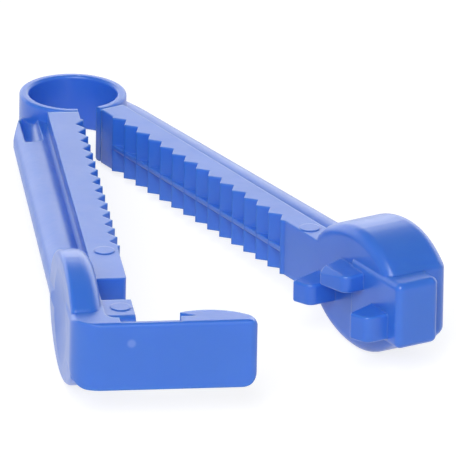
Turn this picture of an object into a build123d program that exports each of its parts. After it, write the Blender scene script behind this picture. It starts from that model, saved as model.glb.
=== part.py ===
from build123d import *
import os
from math import cos, radians, sin, tan

# One-piece moulded cord clamp: a sprung ring, two toothed jaw arms, a hook and its catch.
# Frame: +Z is the ring's axis, Z = 0 is the mould's parting plane and the arms leave the ring
# towards -Y, one each side of the YZ plane. Each arm is drawn along +X, with its teeth on the
# X axis and its outer side towards +Y, and is then mirrored and turned to its place.
# Lengths are in millimetres and angles in degrees.

# Whole clamp
open_angle = 25.15
arm_height = 5.0
arm_width = 6.4
overrun = 1.0
root_overlap = 0.8

# Ring that springs the arms apart. The arms' tooth lines meet in front of its centre
ring_bore_radius = 3.9
ring_wall = 0.82
ring_setback = 1.0
ring_edge_round = 0.25

# Jaw bars and their teeth
hook_jaw_width = 2.95
catch_jaw_width = 2.5
jaw_recess = 0.25
jaw_end_round = 0.35
jaw_root = 3.8
tooth_pitch = 2.0
tooth_depth = 0.8
hook_jaw_first_tooth = 5.8
hook_jaw_teeth = 16
hook_jaw_end = 43.4
catch_jaw_first_tooth = 6.1
catch_jaw_teeth = 15
rib_thickness = 0.42
rib_setback = 0.04
rib_drop = 0.25

# Spine along the outer side of each arm. The hook arm's has a pocket where it meets the ring
web_height = 2.2
spine_height = 3.3
spine_root_height = 2.6
spine_width = 3.6
spine_bulge = 0.1
spine_taper = 0.35
shoulder_start = 0.6
shoulder_run = 4.2
shoulder_share = 0.32
pocket_radius = 0.8
pocket_gap = 0.75
pocket_end = 7.0
pocket_floor = 1.0

# Round finger pads at the arm ends
pad_place = 45.7
pad_radius = 5.5
pad_reach = 7.6
catch_pad_nose = 5.6
catch_pad_nose_radius = 7.6
hook_pad_nose = 6.9
hook_pad_nose_radius = 10.9
pad_corner_round = 0.8
hook_pad_outer_round = 0.45
catch_pad_outer_round = 1.1
hook_pad_inner = 3.35
hook_pad_inner_round = 1.3
catch_pad_inner_round = 0.95
hook_pad_inset = 0.25
hook_pad_tilt = 1.5
dish_radius = 4.2
dish_depth = 0.45

# Hook plate and its lip
hook_height = 6.1
hook_ahead = 9.6
hook_plate = 1.5
hook_corner_round = 2.6
hook_reach = 9.8
hook_tip_round = 0.7
hook_upper_round = 0.7
hook_lower_round = 1.3
hook_edge_round = 0.35
lip_depth = 1.2
lip_point = 3.3
lip_notch = 1.3
lip_notch_width = 0.7
neck_slope_drop = 0.38
neck_slope_run = 1.3
neck_inner = 3.1
neck_round = 1.1

# Guide block on the hook arm
block_start = 48.3
block_end = 52.6
block_front_round = 0.8
block_setback = 0.15
guide_gap = 0.12

# Catch block on the other arm
catch_ahead = 2.0
catch_inner = 0.05
catch_outer = 4.2
catch_height = 6.0
catch_edge_round = 0.6

# Guide lugs on the catch arm
lug_reach = 2.8
lug_front_round = 0.9
lug_tip_round = 0.3
lug_edge_round = 0.2
top_lug_start = 43.5
top_lug_end = 47.7
top_lug_low = 0.65
top_lug_high = 2.2
ramp_run = 0.75
ramp_drop = 0.5
low_lug_start = 39.9
low_lug_end = 42.9
low_lug_reach = 3.3
low_lug_lift = 0.45
end_lug_start = 48.7
end_lug_end = 51.7
end_lug_reach = 3.0
lug_slant = 1.1
lug_nose_slant = 0.7

# Ejector pin marks
mark_radius = 0.9
mark_rise = 0.07
jaw_mark_place = 36.9

mid = arm_height / 2
turn = open_angle / 2
hook_outer = arm_width - hook_pad_inset
hook_front = pad_place + hook_ahead
catch_front = pad_place + catch_pad_nose + catch_ahead
spine_end = pad_place - pad_reach / 2
ring_outer_radius = ring_bore_radius + ring_wall
ring_middle_radius = ring_bore_radius + ring_wall / 2
ring_along = -ring_setback * cos(radians(turn))
ring_across = ring_setback * sin(radians(turn))


def plate(outline, low, high):
    """Extrude a closed plan outline between two heights."""
    return extrude(Plane.XY.offset(low) * make_face(outline), high - low)


def jaw_bar(first_tooth, teeth, end, width):
    """Bar whose inner side is a row of V teeth between two plain stretches."""
    half_pitch = tooth_pitch / 2
    flank = jaw_recess * half_pitch / tooth_depth
    last_tooth = first_tooth + tooth_pitch * (teeth - 1)
    points = [(jaw_root, jaw_recess), (first_tooth - flank, jaw_recess)]
    for i in range(teeth):
        tip = first_tooth + tooth_pitch * i
        points.append((tip, 0))
        if i < teeth - 1:
            points.append((tip + half_pitch, tooth_depth))
    points += [(last_tooth + flank, jaw_recess), (end, jaw_recess), (end, width), (jaw_root, width)]
    return plate(Polyline(*points, close=True), -mid, mid)


def spine(end, jaw_width):
    """Low web beside the jaw bar, and a tapered bead along the arm's outer edge."""
    inner_side = jaw_width - root_overlap
    bead_radius = spine_width / 2
    outer_end = arm_width + spine_bulge
    outer_root = arm_width - spine_taper
    root_section = Pos(outer_root - bead_radius, 0) * Ellipse(bead_radius, spine_root_height / 2)
    end_section = Pos(outer_end - bead_radius, 0) * Ellipse(bead_radius, spine_height / 2)
    bead = loft([Plane.YZ * root_section, Plane.YZ.offset(end) * end_section])
    shoulder = Polyline(
        (ring_along, ring_across + ring_middle_radius),
        (shoulder_start, ring_middle_radius + shoulder_share * (outer_end - ring_middle_radius)),
        (shoulder_start + shoulder_run, outer_root),
        (end, outer_end + overrun),
        (end, inner_side),
        (ring_along, inner_side),
        close=True,
    )
    web = Polyline(
        (0, inner_side),
        (end, inner_side),
        (end, outer_end - bead_radius),
        (0, outer_root - bead_radius),
        close=True,
    )
    rail = (bead & plate(shoulder, -mid, mid)) + plate(web, -web_height / 2, web_height / 2)
    return rail - Pos(ring_along, ring_across) * Cylinder(ring_middle_radius, arm_height)


def pocket():
    """Round-ended hollows in the top and underside of the hook arm's spine, beside the ring."""
    across = hook_jaw_width + pocket_radius + pocket_gap
    lift = pocket_floor / 2 + pocket_radius
    length = pocket_end - ring_along
    bar = Pos(ring_along + length / 2, across, lift) * Rot(0, 90, 0) * Cylinder(pocket_radius, length)
    upper = bar + Pos(pocket_end, across, lift) * Sphere(pocket_radius)
    return upper + mirror(upper, about=Plane.XY)


def pad_rear():
    """Half of the pad's outline, drawn out towards the arm."""
    return Ellipse(pad_reach, pad_radius) & Pos(-pad_reach / 2, 0) * Rectangle(pad_reach, 2 * pad_radius)


def pad_nose(reach, radius):
    """Other half of the pad's outline, flatter than a circle and cut square in front."""
    lift = radius - pad_radius
    lens = Pos(0, -lift) * Circle(radius) & Pos(0, lift) * Circle(radius)
    nose = lens & Pos(reach / 2, 0) * Rectangle(reach, 2 * pad_radius)
    for up in (-pad_radius, pad_radius):
        nose = fillet([nearest(nose.vertices(), 2 * reach, up)], pad_corner_round)
    return nose


def finger_pad(nose, inner, outer, inner_round, outer_round):
    """Round pad, drawn out towards the arm, with rounded rims."""
    outline = Pos(pad_place, 0) * (pad_rear() + nose)
    pad = extrude(Plane.XZ.offset(-outer) * outline, outer - inner)
    pad = fillet(pad.faces().sort_by(Axis.Y)[0].edges(), inner_round)
    return fillet(pad.faces().sort_by(Axis.Y)[-1].edges(), outer_round)


def finger_dish(outer):
    """Ball that hollows the pad's outer face for the finger."""
    ball = (dish_radius**2 + dish_depth**2) / (2 * dish_depth)
    return Pos(pad_place, outer - dish_depth + ball) * Sphere(ball)


def ejector_mark(place, across):
    """Round mark that an ejector pin leaves, slightly proud of the moulding's top."""
    height = mark_rise + root_overlap
    return Pos(place, across, mid + mark_rise - height / 2) * Cylinder(mark_radius, height)


def hook():
    """Plate across the arm's end, with a barbed lip that turns back at its far end."""
    inner_face = hook_front - hook_plate
    back = inner_face - lip_depth
    half = hook_height / 2
    corner = (hook_front - hook_corner_round, hook_outer - hook_corner_round)
    tip = (hook_front - hook_tip_round, hook_tip_round - hook_reach)
    lip_back = (back + lip_notch_width / 2, -lip_point)
    outline = make_face(
        CenterArc(corner, hook_corner_round, 0, 90)
        + Line((hook_front, corner[1]), (hook_front, tip[1]))
        + CenterArc(tip, hook_tip_round, -90, 90)
        + ThreePointArc((tip[0], -hook_reach), (back, -(lip_point + hook_reach) / 2), lip_back)
        + Polyline(
            lip_back,
            (inner_face - lip_notch_width, -lip_point),
            (inner_face, -lip_point - lip_notch),
            (inner_face, neck_inner),
            (pad_place, neck_inner),
            (pad_place, hook_outer),
            (corner[0], hook_outer),
        )
    )
    outline = fillet([nearest(outline.vertices(), inner_face, neck_inner)], neck_round)
    body = extrude(Plane.XY.offset(-half) * outline, hook_height)
    slope = Polyline(
        (inner_face + neck_slope_run, half),
        (inner_face, half - neck_slope_drop),
        (inner_face - overrun, half - neck_slope_drop),
        (inner_face - overrun, half + overrun),
        (inner_face + neck_slope_run, half + overrun),
        close=True,
    )
    slope_end = neck_inner - neck_round
    wedge = extrude(Plane.XZ.offset(-slope_end) * make_face(slope), slope_end + lip_point)
    return (body & hook_front_view() & hook_side_view()) - wedge - mirror(wedge, about=Plane.XY)


def hook_front_view():
    """Prism with the hook's outline as seen from the front, rounded at its corners."""
    half = hook_height / 2
    corners = [(-hook_reach, -half), (hook_outer, -half), (hook_outer, half), (-hook_reach, half)]
    outline = make_face(Polyline(*corners, close=True))
    for across, up, radius in (
        (-hook_reach, half, hook_upper_round),
        (-hook_reach, -half, hook_lower_round),
        (hook_outer, half, hook_upper_round),
        (hook_outer, -half, hook_lower_round),
    ):
        outline = fillet([nearest(outline.vertices(), across, up)], radius)
    return extrude(Plane.YZ.offset(pad_place - overrun) * outline, hook_front - pad_place + 2 * overrun)


def hook_side_view():
    """Prism with the hook's outline as seen from the side, rounded along its front edges."""
    half = hook_height / 2
    back = pad_place - overrun
    corners = [(back, -half), (hook_front, -half), (hook_front, half), (back, half)]
    outline = make_face(Polyline(*corners, close=True))
    for up in (-half, half):
        outline = fillet([nearest(outline.vertices(), hook_front, up)], hook_edge_round)
    return extrude(Plane.XZ.offset(-hook_outer - overrun) * outline, hook_outer + hook_reach + 2 * overrun)


def nearest(corners, along, across):
    """The corner of an outline that lies closest to a point."""
    return min(corners, key=lambda corner: (corner.X - along) ** 2 + (corner.Y - across) ** 2)


def guide_block():
    """Upper block behind the hook plate, which slides over the end lug of the other arm."""
    length = block_end - block_start
    height = mid - guide_gap
    inner = jaw_recess + block_setback
    outer = hook_jaw_width + root_overlap
    centre = Pos(block_start + length / 2, (inner + outer) / 2, mid - height / 2)
    block = centre * Box(length, outer - inner, height)
    front_top = block.edges().filter_by(Axis.Y).group_by(Axis.Z)[-1].sort_by(Axis.X)[-1]
    return fillet(front_top, block_front_round)


def hook_arm():
    """Arm that carries the hook. Its lower half is cut back where the other arm's lugs enter."""
    arm = jaw_bar(hook_jaw_first_tooth, hook_jaw_teeth, hook_jaw_end, hook_jaw_width)
    corner = (hook_jaw_end, jaw_recess, 0)
    arm = fillet(arm.edges().filter_by(Axis.Z).sort_by_distance(corner)[0], jaw_end_round)
    relief_start = low_lug_start - guide_gap
    arm -= Pos((relief_start + hook_jaw_end + overrun) / 2, 0, -mid + (mid + guide_gap) / 2) * Box(
        hook_jaw_end + overrun - relief_start, 2 * hook_jaw_width, mid + guide_gap
    )
    arm += spine(spine_end, hook_jaw_width) - pocket()
    tilt = Pos(pad_place, hook_outer) * Rot(0, 0, -hook_pad_tilt) * Pos(-pad_place, -hook_outer)
    nose = pad_nose(hook_pad_nose, hook_pad_nose_radius)
    arm += tilt * finger_pad(nose, hook_pad_inner, hook_outer, hook_pad_inner_round, hook_pad_outer_round)
    arm += hook()
    arm += guide_block()
    arm -= tilt * finger_dish(hook_outer)
    arm += ejector_mark(jaw_mark_place, hook_jaw_width / 2)
    arm += ejector_mark((block_start + block_end - block_front_round) / 2, hook_jaw_width / 2)
    return arm


def lug(start, end, low, high, reach):
    """Guide lug on the jaw face: slanted back, blunt nose and rounded front corner."""
    nose = jaw_recess - reach
    points = Polyline(
        (start, jaw_recess + root_overlap),
        (start, jaw_recess),
        (start + lug_slant, nose),
        (end, nose + lug_nose_slant),
        (end, jaw_recess + root_overlap),
        close=True,
    )
    outline = make_face(points)
    outline = fillet([nearest(outline.vertices(), end, nose + lug_nose_slant)], lug_front_round)
    outline = fillet([nearest(outline.vertices(), start + lug_slant, nose)], lug_tip_round)
    body = extrude(Plane.XY.offset(low) * outline, high - low)
    rims = body.faces().sort_by(Axis.Z)
    return fillet(rims[0].edges() + rims[-1].edges(), lug_edge_round)


def top_lug_ramp():
    """Wedge that bevels the top lug's nose, so that it leads into the other arm's notch."""
    nose = jaw_recess - lug_reach
    wedge = Polyline(
        (nose + ramp_run, top_lug_high),
        (nose, top_lug_high - ramp_drop),
        (nose - overrun, top_lug_high - ramp_drop),
        (nose - overrun, top_lug_high + overrun),
        (nose + ramp_run, top_lug_high + overrun),
        close=True,
    )
    return extrude(Plane.YZ.offset(top_lug_start) * make_face(wedge), top_lug_end - top_lug_start)


def catch_block():
    """Block in front of the pad, whose outer side holds the hook's lip."""
    length = catch_front - pad_place
    width = catch_outer - catch_inner
    block = Pos(pad_place + length / 2, catch_inner + width / 2) * Box(length, width, catch_height)
    front = block.faces().sort_by(Axis.X)[-1]
    return fillet(block.edges().filter_by(Axis.X) + front.edges(), catch_edge_round)


def catch_arm():
    """Arm that carries the catch, the centre rib and the guide lugs."""
    arm = jaw_bar(catch_jaw_first_tooth, catch_jaw_teeth, pad_place, catch_jaw_width)
    rib_length = tooth_pitch * (catch_jaw_teeth - 1)
    rib_width = catch_jaw_width - rib_setback
    rib_centre = Pos(catch_jaw_first_tooth + rib_length / 2, rib_setback + rib_width / 2, -rib_drop)
    arm += rib_centre * Box(rib_length, rib_width, rib_thickness)
    arm += spine(spine_end, catch_jaw_width)
    nose = pad_nose(catch_pad_nose, catch_pad_nose_radius)
    arm += finger_pad(nose, jaw_recess, arm_width, catch_pad_inner_round, catch_pad_outer_round)
    arm += catch_block()
    arm += lug(top_lug_start, top_lug_end, top_lug_low, top_lug_high, lug_reach) - top_lug_ramp()
    arm += lug(low_lug_start, low_lug_end, low_lug_lift - mid, -guide_gap, low_lug_reach)
    arm += lug(end_lug_start, end_lug_end, -mid, -guide_gap, end_lug_reach)
    arm -= finger_dish(arm_width)
    arm += ejector_mark(jaw_mark_place, catch_jaw_width / 2)
    return arm


def ring():
    """Sprung ring, open between the two jaw faces."""
    body = Cylinder(ring_outer_radius, arm_height) - Cylinder(ring_bore_radius, arm_height)
    body = fillet(body.edges().filter_by(GeomType.CIRCLE), ring_edge_round)
    apex = jaw_recess / sin(radians(turn)) - ring_setback
    reach = ring_outer_radius + apex + overrun
    spread = reach * tan(radians(turn))
    gap = Polyline((0, apex), (spread, apex - reach), (-spread, apex - reach), close=True)
    return body - plate(gap, -mid, mid)


def clamp():
    """Both arms on the sprung ring."""
    right = Rot(0, 0, turn - 90) * catch_arm()
    left = Rot(0, 0, -turn - 90) * mirror(hook_arm(), about=Plane.XZ)
    return ring() + Pos(0, -ring_setback) * right + Pos(0, -ring_setback) * left


if __name__ == "__main__":
    os.makedirs("parts", exist_ok=True)
    whole = clamp()
    whole.label = "cord_clamp"
    export_step(whole, "parts/cord_clamp.step")
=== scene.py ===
import math

import bpy
from mathutils import Matrix, Vector

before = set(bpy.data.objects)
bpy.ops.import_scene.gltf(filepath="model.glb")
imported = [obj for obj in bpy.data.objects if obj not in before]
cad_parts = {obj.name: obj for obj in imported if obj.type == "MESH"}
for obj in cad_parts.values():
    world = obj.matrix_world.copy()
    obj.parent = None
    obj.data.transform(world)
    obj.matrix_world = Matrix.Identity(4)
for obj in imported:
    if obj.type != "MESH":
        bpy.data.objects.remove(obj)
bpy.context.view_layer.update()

# The clamp is one moulding, so its own solid is shown and gets the plastic's material.
# Lengths are in metres, except where a name ends in mm.
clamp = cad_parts["cord_clamp"]
scene = bpy.context.scene
scene.view_settings.view_transform = "Standard"
white = (1.0, 1.0, 1.0, 1.0)

# Plastic
deep_blue = (0.036, 0.163, 0.65, 1.0)
light_blue = (0.043, 0.181, 0.7, 1.0)
flow_scale = 140.0
flow_span = (0.25, 0.75)
gate_place = (-0.01309, -0.05474, 0.00123)
gate_core_radius = 0.0002
gate_radius = 0.0005
gate_white = (0.42, 0.55, 0.9, 1.0)
gate_share = 0.24
handling_scale = 420.0
handling_span = (0.3, 0.7)
# Contour lines showed on flat faces where the roughness crossed lower levels
roughness_span = (0.285, 0.36)
texture_scale = 1100.0
texture_depth = 0.00002
texture_share = 0.5
edge_radius = 0.00024
edge_samples = 8
plastic_values = {
    "IOR": 1.5,
    "Coat Weight": 0.2,
    "Coat Roughness": 0.22,
    "Subsurface Weight": 0.4,
    "Subsurface Radius": (0.3, 0.6, 1.0),
    "Subsurface Scale": 0.0022,
}

# Floor, which the ring's lower edge and the finger pads rest on
ring_edge = Vector((0.0, 0.00447, -0.0025))
pad_foot = Vector((0.0, -0.04539, -0.00552))
floor_gap = 0.00003
floor_half = 0.4
paper_grey = (0.85, 0.85, 0.85, 1.0)
shadow_grey = (0.3, 0.3, 0.3, 1.0)
paper_glow = 0.82

# World: the sweep's heading is level, and heights are sines of the angle above the horizon
sweep_heading = (0.331, 0.944, 0.0)
sweep_spread = (0.25, 0.55)
sweep_top = (0.50, 0.62)
sweep_strength = 1.65
soft_heights = (0.2, 0.75)
soft_strengths = (0.52, 0.22)

# Camera at the photograph's view
azimuth, elevation, roll = (math.radians(v) for v in (19.36, 21.54, 0.97))
target_mm = Vector((6.677, -23.029, -2.5))
distance_mm = 1650.0
pixels_per_mm = 11.475
image_width = 458
mm_per_metre = 1000
sensor_mm = 36.0
clip_near, clip_far = 0.05, 10.0

# Soft key light from the camera's side, and a small lamp above it that draws highlights along the edges:
# name, width, watts and place
lamps = (
    ("key", 0.5, 3.8, (-0.32, -0.55, 0.51)),
    ("spark", 0.12, 0.5, (-0.2, -0.38, 0.7)),
)
lamp_aim = Vector((0.0, -0.03, 0.0))


def node(tree, kind, **settings):
    """Add a shader node. A setting that names an input fills that input."""
    made = tree.nodes.new(kind)
    for name, value in settings.items():
        if hasattr(made, name):
            setattr(made, name, value)
        else:
            made.inputs[name.replace("_", " ")].default_value = value
    return made


def noise(tree, place, **settings):
    """Noise over a place's coordinates."""
    made = node(tree, "ShaderNodeTexNoise", **settings)
    tree.links.new(place, made.inputs["Vector"])
    return made.outputs["Fac"]


def mapped(tree, value, span, levels, interpolation="SMOOTHSTEP"):
    """Carry a value from one span to two levels, held at its ends."""
    made = node(tree, "ShaderNodeMapRange", interpolation_type=interpolation)
    for name, number in zip(("From Min", "From Max", "To Min", "To Max"), (*span, *levels)):
        made.inputs[name].default_value = number
    tree.links.new(value, made.inputs["Value"])
    return made.outputs["Result"]


def joined(tree, operation, first, second):
    """Put two values together."""
    made = node(tree, "ShaderNodeMath", operation=operation)
    tree.links.new(first, made.inputs[0])
    tree.links.new(second, made.inputs[1])
    return made.outputs[0]


def compared(tree, operation, place, fixed):
    """Compare a place or heading with a fixed one."""
    made = node(tree, "ShaderNodeVectorMath", operation=operation)
    made.inputs[1].default_value = fixed
    tree.links.new(place, made.inputs[0])
    return made.outputs["Value"]


def chosen(tree, factor, shader, other):
    """Shader that gives way to another as the factor goes from 0 to 1."""
    made = node(tree, "ShaderNodeMixShader")
    tree.links.new(factor, made.inputs["Fac"])
    tree.links.new(shader.outputs[0], made.inputs[1])
    tree.links.new(other.outputs[0], made.inputs[2])
    return made.outputs[0]


def blue_plastic():
    """Satin gloss, slightly milky, with faint flow streaks and a fine moulded texture."""
    material = bpy.data.materials.new("blue_plastic")
    material.use_nodes = True
    tree = material.node_tree
    link = tree.links.new
    shader = tree.nodes["Principled BSDF"]
    place = node(tree, "ShaderNodeTexCoord").outputs["Object"]

    tint = node(tree, "ShaderNodeValToRGB")
    for element, position, color in zip(tint.color_ramp.elements, flow_span, (deep_blue, light_blue)):
        element.position = position
        element.color = color
    link(noise(tree, place, Scale=flow_scale, Detail=2.0, Roughness=0.45), tint.inputs["Fac"])

    # Whitened spot on the hook's front where the moulding's gate was broken off
    away = compared(tree, "DISTANCE", place, gate_place)
    whiten = node(tree, "ShaderNodeMixRGB", Color2=gate_white)
    link(mapped(tree, away, (gate_core_radius, gate_radius), (gate_share, 0.0)), whiten.inputs["Fac"])
    link(tint.outputs["Color"], whiten.inputs["Color1"])
    link(whiten.outputs["Color"], shader.inputs["Base Color"])

    handling = noise(tree, place, Scale=handling_scale, Detail=4.0, Roughness=0.6)
    link(mapped(tree, handling, handling_span, roughness_span, "LINEAR"), shader.inputs["Roughness"])

    edge = node(tree, "ShaderNodeBevel", samples=edge_samples, Radius=edge_radius)
    bump = node(tree, "ShaderNodeBump", Strength=texture_share, Distance=texture_depth)
    link(noise(tree, place, Scale=texture_scale, Detail=2.0), bump.inputs["Height"])
    link(edge.outputs["Normal"], bump.inputs["Normal"])
    link(bump.outputs["Normal"], shader.inputs["Normal"])
    for name, value in plastic_values.items():
        shader.inputs[name].default_value = value
    return material


def paper():
    """White paper that bounces light, and shows itself as white with a faint shadow."""
    material = bpy.data.materials.new("paper")
    material.use_nodes = True
    tree = material.node_tree
    tree.nodes.clear()
    rays = node(tree, "ShaderNodeLightPath")
    sheet = node(tree, "ShaderNodeBsdfDiffuse", Color=paper_grey)
    faint = node(tree, "ShaderNodeBsdfDiffuse", Color=shadow_grey)
    glow = node(tree, "ShaderNodeEmission", Color=white, Strength=paper_glow)
    lifted = node(tree, "ShaderNodeAddShader")
    tree.links.new(faint.outputs[0], lifted.inputs[0])
    tree.links.new(glow.outputs[0], lifted.inputs[1])
    seen = joined(tree, "MAXIMUM", rays.outputs["Is Camera Ray"], rays.outputs["Is Glossy Ray"])
    shown = joined(tree, "MAXIMUM", seen, rays.outputs["Is Transmission Ray"])
    out = node(tree, "ShaderNodeOutputMaterial")
    tree.links.new(chosen(tree, shown, sheet, lifted), out.inputs["Surface"])
    return material


def studio():
    """Bright white sweep behind the clamp up to a third of the way overhead, with softer light elsewhere."""
    world = bpy.data.worlds.new("studio")
    world.use_nodes = True
    tree = world.node_tree
    tree.nodes.clear()
    heading = node(tree, "ShaderNodeTexCoord").outputs["Generated"]
    split = node(tree, "ShaderNodeSeparateXYZ")
    tree.links.new(heading, split.inputs[0])
    height = split.outputs["Z"]
    behind = compared(tree, "DOT_PRODUCT", heading, sweep_heading)
    side = mapped(tree, behind, sweep_spread, (0.0, sweep_strength))
    sweep = joined(tree, "MULTIPLY", side, mapped(tree, height, sweep_top, (1.0, 0.0)))
    soft = mapped(tree, height, soft_heights, soft_strengths)
    sky = node(tree, "ShaderNodeBackground", Color=white)
    tree.links.new(joined(tree, "ADD", sweep, soft), sky.inputs["Strength"])
    backdrop = node(tree, "ShaderNodeBackground", Color=white, Strength=1.0)
    rays = node(tree, "ShaderNodeLightPath")
    out = node(tree, "ShaderNodeOutputWorld")
    tree.links.new(chosen(tree, rays.outputs["Is Camera Ray"], sky, backdrop), out.inputs["Surface"])
    return world


clamp.data.materials.clear()
clamp.data.materials.append(blue_plastic())

# The part stays in its frame, so the floor is tilted to it
along = (ring_edge - pad_foot).normalized()
upward = Vector((1.0, 0.0, 0.0)).cross(along)
middle = (ring_edge + pad_foot) / 2 - upward * floor_gap
corners = [
    middle + Vector((x * floor_half, 0.0, 0.0)) + along * (y * floor_half)
    for x, y in ((-1, -1), (1, -1), (1, 1), (-1, 1))
]
floor_mesh = bpy.data.meshes.new("floor")
floor_mesh.from_pydata(corners, [], [(0, 1, 2, 3)])
floor_mesh.materials.append(paper())
floor = bpy.data.objects.new("floor", floor_mesh)
scene.collection.objects.link(floor)
scene.world = studio()

forward = Vector(
    (
        math.sin(azimuth) * math.cos(elevation),
        math.cos(azimuth) * math.cos(elevation),
        -math.sin(elevation),
    )
)
level_right = Vector((math.cos(azimuth), -math.sin(azimuth), 0.0))
level_up = level_right.cross(forward)
right = level_right * math.cos(roll) + level_up * math.sin(roll)
up = level_up * math.cos(roll) - level_right * math.sin(roll)
position = (target_mm - forward * distance_mm) / mm_per_metre
camera = bpy.data.cameras.new("camera")
camera.sensor_width = sensor_mm
camera.lens = sensor_mm * pixels_per_mm * distance_mm / image_width
camera.clip_start = clip_near
camera.clip_end = clip_far
viewer = bpy.data.objects.new("camera", camera)
viewer.matrix_world = Matrix(
    (
        (right.x, up.x, -forward.x, position.x),
        (right.y, up.y, -forward.y, position.y),
        (right.z, up.z, -forward.z, position.z),
        (0.0, 0.0, 0.0, 1.0),
    )
)
scene.collection.objects.link(viewer)
scene.camera = viewer

for name, width, watts, place in lamps:
    lamp = bpy.data.lights.new(name, "AREA")
    lamp.shape = "DISK"
    lamp.size = width
    lamp.energy = watts
    holder = bpy.data.objects.new(name, lamp)
    holder.location = Vector(place)
    holder.rotation_mode = "QUATERNION"
    holder.rotation_quaternion = (lamp_aim - holder.location).to_track_quat("-Z", "Y")
    scene.collection.objects.link(holder)
